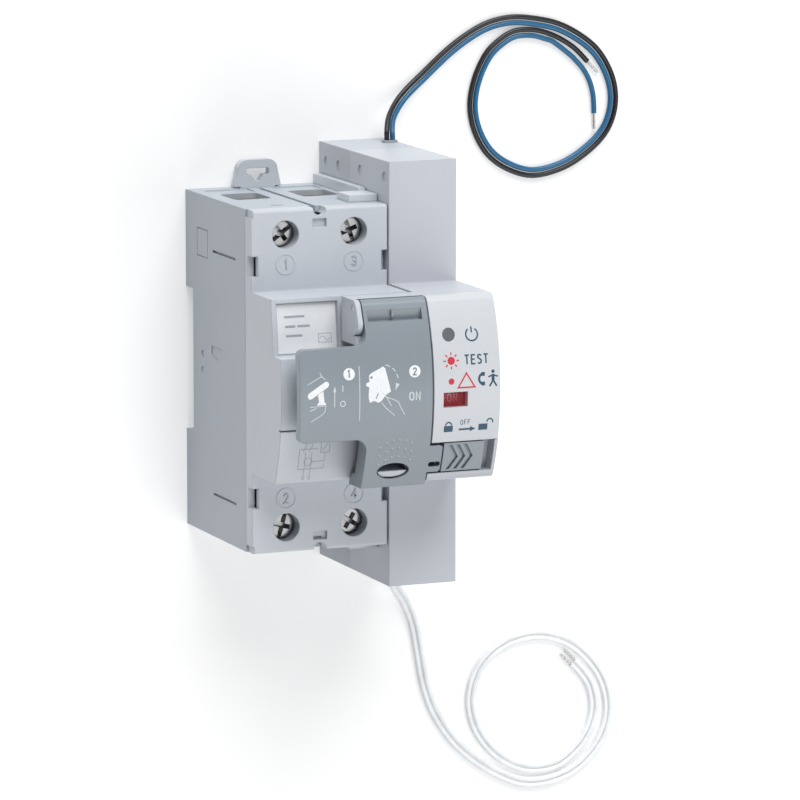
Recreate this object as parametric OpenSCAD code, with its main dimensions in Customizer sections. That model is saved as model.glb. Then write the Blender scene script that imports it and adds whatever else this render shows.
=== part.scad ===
// Residual current circuit breaker, two pole, with an automatic reclosing unit on its right side.
// The device lies on its back: +X is its right, +Y its top, +Z points out of its front.
// The origin is centred below the device, on the plane of its rear faces.

/* [Device] */
// Width of one module of the rail system
module_w = 17.5; // [17.4:0.1:17.6]
// Height of the circuit breaker
breaker_h = 83; // [82.5:0.5:84]
// Height of the reclosing unit
unit_h = 103.4; // [102:0.2:105]
// Height of the shoulders above the rear faces
shoulder_z = 45; // [44.8:0.1:45.2]
// Front of the box of the reclosing unit
box_z = 45.6; // [45.4:0.1:45.8]
// Wall thickness of the mouldings
wall = 1.6; // [1.5:0.1:1.7]

/* [Rail seat] */
// Height of the recess for the 35 mm rail
rail_gap = 35.3; // [35.2:0.1:35.6]
// Depth of that recess
rail_depth = 5; // [4.8:0.1:5.2]

/* [Front] */
// Highest point of the flap and the indicator panel
flap_z = 73.1; // [73:0.1:73.3]
// Highest point of the circuit breaker's own nose
nose_z = 64.7; // [64.6:0.1:64.8]
// Thickness of the flap
flap_t = 2.3; // [2.2:0.1:2.4]

/* [Terminals] */
// Distance of the terminal screws from the middle, along Y
screw_y = 35.4; // [35.2:0.1:35.6]
// Radius of the screw access holes
screw_hole_r = 3.4; // [3.3:0.1:3.6]

/* [Mechanism] */
// Height of the toggle's axle
axle_z = 52; // [51.9:0.1:52.1]
// Angle of the toggle from the straight-out direction when it is on
throw = 22; // [21:1:22]

/* [Cords] */
// Diameter of the insulated wires
wire_d = 1.3; // [1.2:0.05:1.35]

/* [Hidden] */
$fn = 64;

// Widths and edges along X, counted from the left side of the device
total_w = 3 * module_w;
breaker_w = 2 * module_w - 0.1;
unit_x0 = 2 * module_w + 0.1;
inner_x1 = total_w - wall;
pole_x = [module_w / 2, 3 * module_w / 2];
pole_mid = module_w;

// Heights of the housings
half_h = breaker_h / 2;
unit_half = unit_h / 2;
cover_z = 41;
unit_split = 20;
recess_top = rail_depth;
floor_z = rail_depth + wall;

// Arched front that the flap, the panel and the slider share
arch_r = 52;
arch_z = flap_z - arch_r;
nose_half = 22.2;
corner_r = 2;
pin_y = nose_half - corner_r;
pin_z = arch_z + sqrt(pow(arch_r - corner_r, 2) - pow(pin_y, 2));
panel_t = 1.6;
panel_x0 = 35.5;
panel_y0 = -12.4;
panel_base = 64.9;
slider_y0 = -20.2;

// Arched nose of the circuit breaker
nose_r = 56;
breaker_nose_half = 22;
label_y = 8.6;
label_z = 59.4;
label_drop = 1.8;

// Label window: corners of its recess and the play round it
label_low = [1.3, label_y + 0.1];
label_high = [16.8, 20.9];
label_play = 0.03;

// Pins that hold the front cover, and the pockets in front of them
cover_pin_y = 37.2;
cover_pin_r = 1.3;
cover_pin_z = 43.2;

// Terminal screws, clamp cages and the current transformer
head_z = 38.9;
head_h = 3;
thread_r = 2.45;
core_c = [pole_mid, -17, 22.2];
core_half = 4;
relay_low = [2.4, 1, 36];
relay_high = [13.6, 14, 48];

// Flap, its bridge over the breaker's nose, and the lock slider
flap_x = [1.5, 35.1];
flap_neck_x = 18.8;
ear_x = 38.4;
lip_y = -22.9;
pin_r = 0.8;
bridge_x0 = 17.2;
cheek_w = 1.3;
cheek_y = 13.9;
cheek_r = 3;
nose_x0 = panel_x0 - 0.1;
slider_inset = 3.4;

// Toggle, carrier and their shared throw
handle_r = 17;
crank_r = 13;
barrel_r = 8.6;
carrier_z = axle_z - 27;
carrier_ratio = 0.82;
handle_x = [18, 30.5];
axle_r = 1.2;
fit = 0.05;

// Gear train: module, teeth and the direction of each step
sector_m = 0.6;
sector_teeth = 50;
mid_m = 0.5;
mid_teeth = 42;
fast_m = 0.4;
fast_teeth = 48;
pinion_teeth = 14;
sector_a = 30;
mid_a = 75;
fast_a = 85;
sector_x = [39.5, 42.3];
mid_x = [43, 45.2];
fast_x = [46, 47.6];
gear_bore = 0.85;
link_y = -5;
function step(a, d) = [-d * sin(a), -d * cos(a)];
gear_2 = [0, axle_z] + step(sector_a, sector_m * (sector_teeth + pinion_teeth) / 2);
gear_1 = gear_2 + step(mid_a, mid_m * (mid_teeth + pinion_teeth) / 2);
motor_c = gear_1 + step(fast_a, fast_m * (fast_teeth + pinion_teeth) / 2);

// Wire exits and routes, in the frame of the finished device
wire_r = wire_d / 2;
exit_x = [23.2, 24.7];
exit_z = 9;
bushing_out = 0.6;
wire_gap = 1.5;
black_route = [
    [23.2, 52.3, 9], [23.2, 53.2, 9], [23.2, 54.5, 9],
    [24.6, 57.5, 6.6], [27.5, 60.5, 3.6], [31, 63.5, 1.6],
    [36, 67.5, 0.8], [42.5, 73, 0.7], [48.5, 77, 0.7], [54, 79.5, 0.7], [60, 80.5, 0.7],
    [66, 80, 0.7], [72.5, 78.5, 0.7], [78.5, 75.5, 0.7], [83.5, 71.5, 0.7], [87, 66, 0.7],
    [88.5, 60.5, 0.7], [88, 55, 0.7], [85.5, 50, 0.7], [80.5, 45.5, 0.7], [74, 42, 0.7],
    [66, 40.5, 0.7], [59, 42.5, 0.7], [53.5, 46.5, 0.7], [50, 52.5, 0.7], [48.8, 59, 0.7],
    [50, 65.5, 0.7], [53, 71.5, 0.7], [56.8, 75, 0.7], [61, 77, 0.7], [66.5, 77, 0.7],
    [72, 75.2, 0.7], [77, 72.2, 0.7], [80.7, 68.6, 0.7]
];
blue_tail = [
    [76, 70.4, 0.7], [79.2, 67.2, 0.7], [81.4, 63.5, 0.7], [82.4, 59.5, 0.7], [82.6, 55.5, 0.7]
];
white_route = [
    [23.2, -52.3, 9], [23.2, -53.2, 9], [23.2, -54.5, 9],
    [24.8, -58, 6.2], [27.6, -62, 3.4], [30.6, -66, 1.6],
    [33, -71.5, 0.8], [34.5, -79, 0.7], [36, -87, 0.7], [39, -95, 0.7], [44.5, -103, 0.7],
    [52, -109.5, 0.7], [60, -114, 0.7], [66, -115.5, 0.7], [72.5, -115, 0.7], [79, -112.5, 0.7],
    [84.5, -107.5, 0.7], [87.5, -101.5, 0.7], [88, -95, 0.7], [86, -88.5, 0.7], [82, -83, 0.7],
    [76.5, -78.5, 0.7], [69, -76, 0.7], [61.5, -76.5, 0.7], [55, -79.5, 0.7], [50.5, -84.5, 0.7],
    [48.5, -91.5, 0.7], [49.5, -98, 0.7], [52.5, -103.5, 0.7], [57, -108, 0.7], [62.5, -111, 0.7],
    [68, -112, 0.7], [74, -111, 0.7], [79.5, -107, 0.7], [83, -101.8, 0.7], [84.2, -96, 0.7],
    [83, -90.5, 0.7], [80.5, -86.6, 0.7], [78, -84, 0.7]
];
// The blue wire runs beside the black one for this many points of its route
blue_share = 32;
// Stripped length at the end of each wire, and radius of its strands together
bare_len = 4;
bare_r = 0.35;
black_loop = smooth(black_route, 2);
blue_loop = concat(beside(smooth(first(black_route, blue_share), 2), wire_gap), smooth(blue_tail, 2));
white_loop = smooth(white_route, 2);
white_loop_b = beside(white_loop, -wire_gap);

// ---- helpers ----

// Moves a shape that is drawn from the device's left side into the finished frame.
module placed() {
    translate([-total_w / 2, 0, 0]) children();
}

// Extrudes a side outline, drawn as Y and Z, from x0 to x1.
module along_x(x0, x1) {
    translate([x0, 0, 0]) rotate([90, 0, 90]) linear_extrude(x1 - x0) children();
}

// A box given by its lowest and highest corners.
module box(low, high) {
    translate(low) cube(high - low);
}

// A rod along X at height p = [y, z].
module rod_x(x0, x1, p, r) {
    translate([x0, p[0], p[1]]) rotate([0, 90, 0]) cylinder(h = x1 - x0, r = r);
}

// A rod along Z at p = [x, y].
module rod_z(p, z0, z1, r) {
    translate([p[0], p[1], z0]) cylinder(h = z1 - z0, r = r);
}

// Rectangle from low to high with round corners.
module round_rect(low, high, r) {
    translate(low + [r, 0]) square(high - low - [2 * r, 0]);
    translate(low + [0, r]) square(high - low - [0, 2 * r]);
    for (x = [low[0] + r, high[0] - r]) {
        for (y = [low[1] + r, high[1] - r]) {
            translate([x, y]) circle(r);
        }
    }
}

// Side outline of a nose: an arched front, rounded corners and flat top and bottom.
module nose_outline(front, r, half, corner, inset, base) {
    centre = front - r;
    cy = half - corner;
    cz = centre + sqrt(pow(r - corner, 2) - cy * cy);
    edge = half - inset;
    intersection() {
        translate([0, centre]) circle(r - inset, $fn = 256);
        translate([-edge, base]) square([2 * edge, front - base]);
        if (inset < corner) {
            polygon([[0, centre], [2 * cy, 2 * cz - centre], [-2 * cy, 2 * cz - centre]]);
        }
    }
    if (inset < corner) {
        translate([-edge, base]) square([2 * edge, cz - base]);
        for (s = [-1, 1]) translate([s * cy, cz]) circle(corner - inset);
    }
}

module unit_arch(inset, base) {
    nose_outline(flap_z, arch_r, nose_half, corner_r, inset, base);
}

module breaker_arch(inset, base) {
    nose_outline(nose_z, nose_r, breaker_nose_half, 1.8, inset, base);
}

// Involute gear outline with one tooth on the +u axis.
function involute(rb, t) = rb * [cos(t) + t * PI / 180 * sin(t), sin(t) - t * PI / 180 * cos(t)];
function turn(p, a) = [p[0] * cos(a) - p[1] * sin(a), p[0] * sin(a) + p[1] * cos(a)];
module gear_outline(m, teeth) {
    pressure = 25;
    rp = m * teeth / 2;
    rb = rp * cos(pressure);
    ra = rp + 0.9 * m;
    rf = rp - 1.25 * m;
    steps = 4;
    half_tooth = 90 / teeth * 0.9 + (tan(pressure) * 180 / PI - pressure);
    t1 = sqrt(pow(ra / rb, 2) - 1) * 180 / PI;
    t0 = rf > rb ? sqrt(pow(rf / rb, 2) - 1) * 180 / PI : 0;
    flank = [for (i = [0 : steps]) involute(rb, t0 + (t1 - t0) * i / steps)];
    lower = [for (p = flank) turn(p, -half_tooth)];
    tooth = concat([turn([rf, 0], -half_tooth)], lower,
        [for (i = [steps : -1 : 0]) [lower[i][0], -lower[i][1]]], [turn([rf, 0], half_tooth)]);
    polygon([for (k = [0 : teeth - 1]) for (p = tooth) turn(p, k * 360 / teeth)]);
}

// A gear along X: place = [y, z], with one tooth pointing at angle a above +Y.
module gear(x0, x1, place, m, teeth, a) {
    translate([0, place[0], place[1]]) along_x(x0, x1) rotate(a) gear_outline(m, teeth);
}

// Angle above +Y of a direction that leaves -Z towards -Y by a.
function mesh_angle(a) = 270 - a;

// Route functions: points between the given ones, a parallel route, and the swept tube.
function spline(a, b, c, d, t) =
    b + 0.5 * t * (c - a + t * (2 * a - 5 * b + 4 * c - d + t * (3 * (b - c) + d - a)));
function at(list, i) = list[max(0, min(len(list) - 1, i))];
function smooth(list, n) = concat(
    [for (i = [0 : len(list) - 2]) for (k = [0 : n - 1])
        spline(at(list, i - 1), list[i], list[i + 1], at(list, i + 2), k / n)],
    [list[len(list) - 1]]);
function unit(v) = v / norm(v);
function heading(list, i) = unit(at(list, i + 1) - at(list, i - 1));
function beside(list, d) = [for (i = [0 : len(list) - 1])
    let (h = heading(list, i), side = unit([h[1], -h[0], 0])) list[i] + d * side];
function ring(list, i, r, sides) =
    let (h = heading(list, i), side = unit([h[1], -h[0], 0]), up = cross(side, h))
    [for (k = [0 : sides - 1])
        list[i] + r * (cos(360 * (k + 0.5) / sides) * side + sin(360 * (k + 0.5) / sides) * up)];
module tube(list, r) {
    sides = 8;
    n = len(list);
    points = [for (i = [0 : n - 1]) each ring(list, i, r, sides)];
    walls = [for (i = [0 : n - 2]) for (k = [0 : sides - 1]) let (q = (k + 1) % sides) each [
        [i * sides + k, i * sides + q, (i + 1) * sides + q],
        [i * sides + k, (i + 1) * sides + q, (i + 1) * sides + k]]];
    ends = [[for (k = [sides - 1 : -1 : 0]) k], [for (k = [0 : sides - 1]) (n - 1) * sides + k]];
    polyhedron(concat(points), concat(walls, ends));
}
function first(list, n) = [for (i = [0 : n - 1]) list[i]];
function last(list) = list[len(list) - 1];

// ---- circuit breaker: housing ----

module cable_entries(y0, y1) {
    for (x = pole_x) {
        translate([x, y0, 0]) rotate([-90, 0, 0]) linear_extrude(y1 - y0)
            round_rect([-4.8, -24], [4.8, -12.6], 1.5);
    }
}

module clip_channel(s) {
    scale([1, s, 1]) {
        box([pole_mid - 4.7, rail_gap / 2 - 1, 1], [pole_mid + 4.7, half_h + 1, 3.9]);
        box([pole_mid - 3.2, rail_gap / 2 - 1, -1], [pole_mid + 3.2, half_h + 1, 1.01]);
    }
}

module leg_pockets(s) {
    scale([1, s, 1]) for (x = [2, 24.4]) {
        for (y = [19.6, 30.6]) box([x, y, -1], [x + 8.5, y + 9.4, floor_z - wall]);
    }
}

module side_marks() {
    box([-1, 28.3, 18.8], [0.7, 28.9, 34.4]);
    box([-1, -31.3, 18.8], [0.7, -30.7, 34.2]);
    for (y = [26.3, 33]) box([-1, y, 8], [0.2, y + 0.25, 15.5]);
    for (z = [8, 15.25]) box([-1, 26.3, z], [0.2, 33.25, z + 0.25]);
    for (p = [[2.6, 11.6], [-1.4, 11.4]]) rod_x(-1, 0.2, p, 0.8);
    along_x(-1, 0.2) polygon([[5.4, 17.7], [5.4, 25], [3.4, 25], [2.2, 21.3], [3.4, 17.7]]);
}

module base_housing() {
    color("#b9bfc7") placed() difference() {
        box([0, -half_h, 0], [breaker_w, half_h, cover_z - 0.1]);
        box([-1, -rail_gap / 2, -1], [breaker_w + 1, rail_gap / 2, recess_top]);
        difference() {
            box([1.5, -half_h + 1.5, floor_z], [breaker_w - 1.5, half_h - 1.5, cover_z + 1]);
            for (s = [-1, 1]) scale([1, s, 1]) {
                box([0, 29, 0], [breaker_w, 30.2, 36]);
                box([pole_mid - 0.8, 30, 0], [pole_mid + 0.8, half_h, 34]);
            }
            for (s = [-1, 1]) rod_z([pole_mid, s * cover_pin_y], floor_z - 1, 40.9, 2.4);
        }
        for (s = [-1, 1]) {
            clip_channel(s);
            leg_pockets(s);
            for (x = pole_x) {
                scale([1, s, 1]) box([x - 3.7, 28, 21.4], [x + 3.7, 31, 34]);
            }
            rod_z([pole_mid, s * cover_pin_y], 29.9, 42, cover_pin_r + 0.02);
            scale([1, s, 1]) box([pole_mid - 0.75, half_h - 1.4, 4.7], [pole_mid + 0.45, half_h + 1, 42]);
        }
        cable_entries(half_h - 3, half_h + 1);
        cable_entries(-half_h - 1, -half_h + 3);
        side_marks();
        for (x = [3, 20.4]) {
            box([x, half_h - 0.3, 4.5], [x + 11.4, half_h + 1, 11]);
        }
        box([8.2, half_h - 0.8, 36.2], [11.2, half_h + 1, 37.4]);
    }
}

function label_top(y) = label_z - label_drop * (y - label_y) / (24 - label_y);

module cover_outline(inset) {
    difference() {
        breaker_arch(inset, cover_z);
        polygon([[label_y - inset, 100], [label_y - inset, label_z - inset],
            [24, label_z - label_drop - inset], [24, 100]]);
    }
}

// A sloping layer of the label: corners are [x, y], top and bottom are depths below the surface.
module label_layer(low, high, top, bottom) {
    z0 = label_top(low[1]);
    z1 = label_top(high[1]);
    along_x(low[0], high[0]) polygon([[low[1], z0 - top], [high[1], z1 - top],
        [high[1], z1 - bottom], [low[1], z0 - bottom]]);
}

// Marks at one end of the cover: a pocket, a round-ended notch and a stepped corner.
module cover_edge_marks() {
    notch_r = 1.6;
    box([pole_mid - 1.8, 36.9, shoulder_z - 0.8], [pole_mid + 1.7, 38.9, shoulder_z + 1]);
    rod_z([pole_mid, half_h - 0.3], cover_z - 1, shoulder_z + 1, notch_r);
    box([pole_mid - notch_r, half_h - 0.3, cover_z - 1], [pole_mid + notch_r, half_h + 1, shoulder_z + 1]);
    box([-1, half_h - 1.8, cover_z - 1], [0.5, half_h + 1, shoulder_z + 1]);
}

// Oval outline of the flap's seal hole, made smaller by an inset.
module seal_oval(inset) {
    half = [4.1 - inset, 2 - inset];
    translate([26.3, -18.8]) polygon([for (a = [0 : 10 : 350]) [half[0] * cos(a), half[1] * sin(a)]]);
}

// Lug on the cover that stands in the lower half of the flap's seal hole.
module seal_lug() {
    intersection() {
        translate([0, 0, 58]) linear_extrude(12) seal_oval(0.4);
        box([21, -22, 58], [32, -18.9, 70]);
        along_x(21, 32) unit_arch_plain(0.5);
    }
}

module front_cover() {
    bearing = [0, axle_z];
    color("#c6cbd2") placed() difference() {
        union() {
            difference() {
                union() {
                    box([0, -half_h, cover_z], [breaker_w, half_h, shoulder_z - 0.8]);
                    box([0, -half_h + 0.8, cover_z], [breaker_w, half_h - 0.8, shoulder_z]);
                    for (s = [-1, 1]) rod_x(0, breaker_w, [s * (half_h - 0.8), shoulder_z - 0.8], 0.8);
                    along_x(0, breaker_w) cover_outline(0);
                }
                box([wall, -half_h + wall, cover_z - 1],
                    [breaker_w - wall, half_h - wall, shoulder_z - wall]);
                along_x(wall, breaker_w - wall) cover_outline(wall);
            }
            for (s = [-1, 1]) rod_z([pole_mid, s * cover_pin_y], cover_z, shoulder_z - wall + 0.1, 2.2);
            for (x = pole_x) for (s = [-1, 1]) {
                rod_z([x, s * screw_y], 38.4, shoulder_z - 0.1, screw_hole_r + 1);
                difference() {
                    rod_z([x, s * 28.4], shoulder_z - 0.1, shoulder_z + 0.08, 2.6);
                    rod_z([x, s * 28.4], shoulder_z - 1, shoulder_z + 1, 2.2);
                }
            }
            intersection() {
                box([14.2, -4, axle_z - 3], [15.8, 4, nose_z]);
                along_x(0, breaker_w) cover_outline(0.5);
            }
            box([0, label_y + 1, label_z - label_drop - 0.2], [1.2, 21.9, label_z - label_drop + 0.4]);
            seal_lug();
        }
        for (x = pole_x) for (s = [-1, 1]) {
            rod_z([x, s * screw_y], 38, shoulder_z + 1, screw_hole_r);
        }
        rod_x(14, 16, bearing, axle_r);
        rod_x(breaker_w - wall - 1, breaker_w + 1, bearing, 6.6);
        box([17.3, -7.9, 55], [31.2, 7.9, nose_z + 1]);
        box([5.4, -4.1, 55], [12.6, 2.1, nose_z + 1]);
        box([-1, -8.8, 63], [breaker_w + 1, -8.4, nose_z + 1]);
        label_layer(label_low, label_high, -2, 1.1);
        for (y = [25.6, -30.4]) box([-1, y, 42.6], [1.7, y + 4.9, 46]);
        for (y = [25.6, -30.6]) box([33.4, y, 42.6], [36, y + 4.9 - (y < 0 ? 1.5 : 0), 46]);
        for (s = [-1, 1]) scale([1, s, 1]) {
            cover_edge_marks();
            rod_z([pole_mid, cover_pin_y], 40, cover_pin_z + 0.2, cover_pin_r + 0.02);
        }
        box([pole_mid - 1.4, -38.7, 43.7], [pole_mid + 0.5, -38.3, 46]);
    }
}

module label_card() {
    color("#eef0f2") placed() label_layer(label_low + [0.3, 0.3], label_high - [0.3, 0.3], 0.82, 1.04);
}

module label_window() {
    color("#dfe7ee", 0.5) placed() label_layer(
        label_low + [label_play, label_play], label_high - [label_play, label_play], 0.05, 0.8);
}

// ---- circuit breaker: mechanism ----

// Turns a part from the straight-out direction to its rest angle about an X axis at p = [y, z].
module turned(p, a) {
    translate([0, p[0], p[1]]) rotate([a, 0, 0]) children();
}

module toggle_handle() {
    x0 = handle_x[0];
    x1 = handle_x[1];
    cheek = 1.6;
    color("#565d66") placed() difference() {
        turned([0, axle_z], -throw) union() {
            rod_x(x0, x1, [0, 0], 3.2);
            for (x = [x0, x1 - cheek]) {
                along_x(x, x + cheek) intersection() {
                    circle(barrel_r);
                    translate([-10, -1.5]) square([20, 20]);
                }
                along_x(x, x + cheek) polygon([[-3, 0], [-2, -crank_r], [2, -crank_r], [3, 0]]);
                rod_x(x, x + cheek, [0, -crank_r], 2);
            }
            rod_x(x0, x1, [0, -crank_r], 1.2);
            along_x(x0, x1) intersection() {
                difference() {
                    circle(barrel_r);
                    circle(barrel_r - 1);
                }
                translate([-10, -1.5]) square([20, 20]);
            }
            along_x(x0, x1) polygon([[-1.8, 7], [-1.8, 11], [-2, handle_r - 2],
                [2, handle_r - 2], [1.8, 11], [1.8, 7]]);
            rod_x(x0, x1, [0, handle_r - 2], 2);
        }
        rod_x(x0 - 1, x1 + 1, [0, axle_z], axle_r + fit);
        turned([0, axle_z], -throw) rod_x(x1 - cheek - 1, x1 + 1, [0, link_y], 1.03);
    }
}

module toggle_axle() {
    color("#9da3a8") placed() rod_x(14.2, 50.9, [0, axle_z], axle_r);
}

module test_button() {
    color("#6d747c") placed() {
        box([6, -3.5, 63.8], [12, 1.5, 65.4]);
        box([6.5, -3, 65.4], [11.5, 1, 65.8]);
        box([4.9, -4.6, 61.4], [13.1, 2.6, 62.2]);
        box([7, -2.5, 62.2], [11, 0.5, 63.8]);
        rod_z([9, -1], 57.6, 61.4, 1.2);
    }
}

module test_contact_spring() {
    color("#c08a3e") placed() {
        box([7, -1.8, 55.2], [11, 6, 55.5]);
        box([7, 6, 51.2], [11, 6.3, 55.5]);
    }
}

module test_resistor() {
    color("#7f9c86") placed() {
        translate([9, -14, 55]) rotate([0, 90, 90]) cylinder(h = 9, r = 1.7);
        translate([9, -17, 55]) rotate([0, 90, 90]) cylinder(h = 3, r = 0.35);
        translate([9, -5, 55]) rotate([0, 90, 90]) cylinder(h = 3, r = 0.35);
    }
}

module rail_clip(loop) {
    z0 = 1.2;
    z1 = 3.7;
    tip = rail_gap / 2 - 1.5;
    difference() {
        union() {
            box([pole_mid - 4.5, tip, z0], [pole_mid + 4.5, half_h + 0.6, z1]);
            translate([0, 0, z0]) linear_extrude(z1 - z0) {
                if (loop) {
                    translate([pole_mid, half_h]) {
                        polygon([[-6.1, 0.3], [-5.2, 4.4], [5.2, 4.4], [6.1, 0.3]]);
                        round_rect([-5.2, 1], [5.2, 6.9], 2.5);
                    }
                } else {
                    round_rect([pole_mid - 4.5, half_h], [pole_mid + 4.5, half_h + 3.2], 1);
                }
            }
        }
        box([pole_mid - 5, tip - 1, z1 - 0.6], [pole_mid + 5, tip + 0.6, z1 + 1]);
        if (loop) {
            translate([pole_mid, half_h, 0]) linear_extrude(5) {
                round_rect([-3, 3.1], [3, 4.8], 0.5);
                polygon([[-1.7, 3.2], [-0.6, 1.6], [0.6, 1.6], [1.7, 3.2]]);
            }
        } else {
            box([pole_mid - 2.4, half_h + 1, 0], [pole_mid + 2.4, half_h + 2.2, 5]);
        }
        for (x = [pole_mid - 3.2, pole_mid + 2.2]) box([x, 24, 0], [x + 1, 38, 5]);
    }
}

module upper_rail_clip() {
    color("#a9b0b8") placed() rail_clip(true);
}

module lower_rail_clip() {
    color("#a9b0b8") placed() mirror([0, 1, 0]) rail_clip(false);
}

// Terminals are numbered 1 and 3 above, 2 and 4 below.
function terminal(n) = [pole_x[n > 2 ? 1 : 0], (n % 2 == 1 ? 1 : -1) * screw_y];

module terminal_screw(n) {
    p = terminal(n);
    color("#6b7076") placed() difference() {
        union() {
            rod_z(p, head_z, head_z + head_h - 0.5, 3.1);
            rod_z(p, head_z + head_h - 0.5, head_z + head_h, 2.8);
            rod_z(p, 24.2, head_z, thread_r);
        }
        translate([p[0], p[1], head_z + head_h - 1.2]) rotate(n * 37) {
            box([-4, -0.5, 0], [4, 0.5, 3]);
            box([-2.1, -0.55, -1.2], [2.1, 0.55, 3]);
            box([-0.55, -2.1, -1.2], [0.55, 2.1, 3]);
        }
    }
}
module terminal_screw_1() { terminal_screw(1); }
module terminal_screw_2() { terminal_screw(2); }
module terminal_screw_3() { terminal_screw(3); }
module terminal_screw_4() { terminal_screw(4); }

module clamp_cage(n) {
    p = terminal(n);
    color("#b4a26a") placed() translate([p[0], p[1], 0]) difference() {
        box([-4.4, -3.6, 11], [4.4, 3.6, 27.8]);
        box([-3.5, -5, 12.2], [3.5, 5, 25.8]);
        rod_z([0, 0], 25, 29, thread_r + fit);
    }
}
module clamp_cage_1() { clamp_cage(1); }
module clamp_cage_2() { clamp_cage(2); }
module clamp_cage_3() { clamp_cage(3); }
module clamp_cage_4() { clamp_cage(4); }

module line_contact_bars() {
    color("#c9803f") placed() for (x = pole_x) {
        along_x(x - 3, x + 3) polygon([[39.4, 22.4], [39.4, 24], [29.4, 24], [26, 31.3], [9.6, 31.3],
            [9.6, 29.7], [25, 29.7], [28.4, 22.4]]);
        rod_z([x, 11.8], 28.4, 29.7, 1.7);
    }
}

module moving_contacts() {
    color("#c9803f") placed() for (x = pole_x) {
        box([x - 2.4, 1.6, 25.4], [x + 2.4, 13.8, 27]);
        rod_z([x, 11.8], 27, 28.2, 1.7);
    }
}

module contact_carrier() {
    tilt = throw * carrier_ratio;
    p = [0, carrier_z];
    color("#3f454c") placed() difference() {
        union() {
            rod_x(5, 30, p, 3.6);
            along_x(5, 30) polygon([[0, 22.6], [4.4, 22.6], [4.4, 28.6], [0, 28.6]]);
            turned(p, tilt) along_x(22, 26.5) polygon([[-3.4, 2], [-3.4, 15.6], [-1.75, 15.6],
                [-1.75, 9], [1.75, 9], [1.75, 15.6], [3.4, 15.6], [3.4, 2]]);
        }
        for (x = pole_x) box([x - 2.45, 1.55, 25.35], [x + 2.45, 6, 27.05]);
        rod_x(0, 40, p, axle_r + fit);
    }
}

module carrier_axle() {
    color("#9da3a8") placed() rod_x(1.5, breaker_w - 1.5, [0, carrier_z], axle_r);
}

// A ring about the Y direction at the core's centre, turned by a and swept by sweep degrees.
module core_ring(r0, r1, half, a, sweep) {
    translate(core_c) rotate([90, a, 0]) rotate_extrude(angle = sweep)
        translate([r0, -half]) square([r1 - r0, 2 * half]);
}

module toroid_core() {
    color("#4a4f55") placed() core_ring(6, 9.6, core_half, 0, 360);
}

module secondary_winding() {
    color("#b5652b") placed() for (a = [30, 210]) {
        difference() {
            core_ring(5.2, 10.4, core_half + 0.8, a, 120);
            core_ring(5.95, 9.65, core_half + 0.05, a + 20, 160);
        }
    }
}

module load_conductors() {
    r = 1.1;
    color("#c9803f") placed() for (s = [-1, 1]) {
        x = pole_mid + s * module_w / 2;
        box([x - 3, -39.4, 22.4], [x + 3, -28.2, 24]);
        inner = pole_mid + s * 2.2;
        tube(smooth([[x, -28.1, 23.2], [x - s * 1.5, -26.5, 22.8], [inner, -23, 22.2],
            [inner, -17, 22.2], [inner, -12, 22.2], [x - s * 1.5, -8, 22.2], [x, -6.2, 22.2]], 3), r);
    }
}

module trip_relay() {
    color("#2f343a") placed() difference() {
        union() {
            box(relay_low, relay_high);
            box([3.6, 14, 38], [12.4, 14.8, 46]);
        }
        translate([8, 2, 42]) rotate([90, 0, 0]) cylinder(h = 10, r = 1.06);
        translate([8, 7, 42]) rotate([90, 0, 0]) cylinder(h = 6, r = 1.06);
    }
}

module relay_plunger() {
    color("#b8bcc0") placed() {
        translate([8, 6.6, 42]) rotate([90, 0, 0]) cylinder(h = 8.6, r = 1);
        translate([8, -2, 42]) rotate([90, 0, 0]) cylinder(h = 0.8, r = 1.8);
    }
}

module arc_plates() {
    color("#8d9298") placed() for (x = pole_x) {
        for (k = [0 : 4]) {
            z = 9.5 + 2.4 * k;
            difference() {
                box([x - 4, 16, z], [x + 4, 26, z + 0.9]);
                box([x - 1.5, 15, z - 1], [x + 1.5, 20, z + 2]);
            }
        }
        for (s = [-1, 1]) box([x + s * 4.4 - 0.4, 15.6, 8.6], [x + s * 4.4 + 0.4, 26.4, 20.8]);
    }
}

module cover_pins() {
    color("#aab0b6") placed() {
        for (s = [-1, 1]) rod_z([pole_mid, s * cover_pin_y], 30, cover_pin_z, cover_pin_r);
    }
}

module joining_strips() {
    color("#b2b8c0") placed() for (s = [-1, 1]) scale([1, s, 1]) {
        box([33, half_h + 0.05, 1.2], [34.9, half_h + 2.4, 31]);
        box([27.5, half_h + 0.05, 31], [34.9, half_h + 1.7, 38.6]);
    }
}

// ---- reclosing unit: housing ----

module unit_box(z0, z1) {
    box([unit_x0, -unit_half, z0], [total_w, unit_half, z1]);
}

module screw_places() {
    for (y = [-46.4, 46.4]) translate([39.6, y, 0]) children();
}

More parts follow.
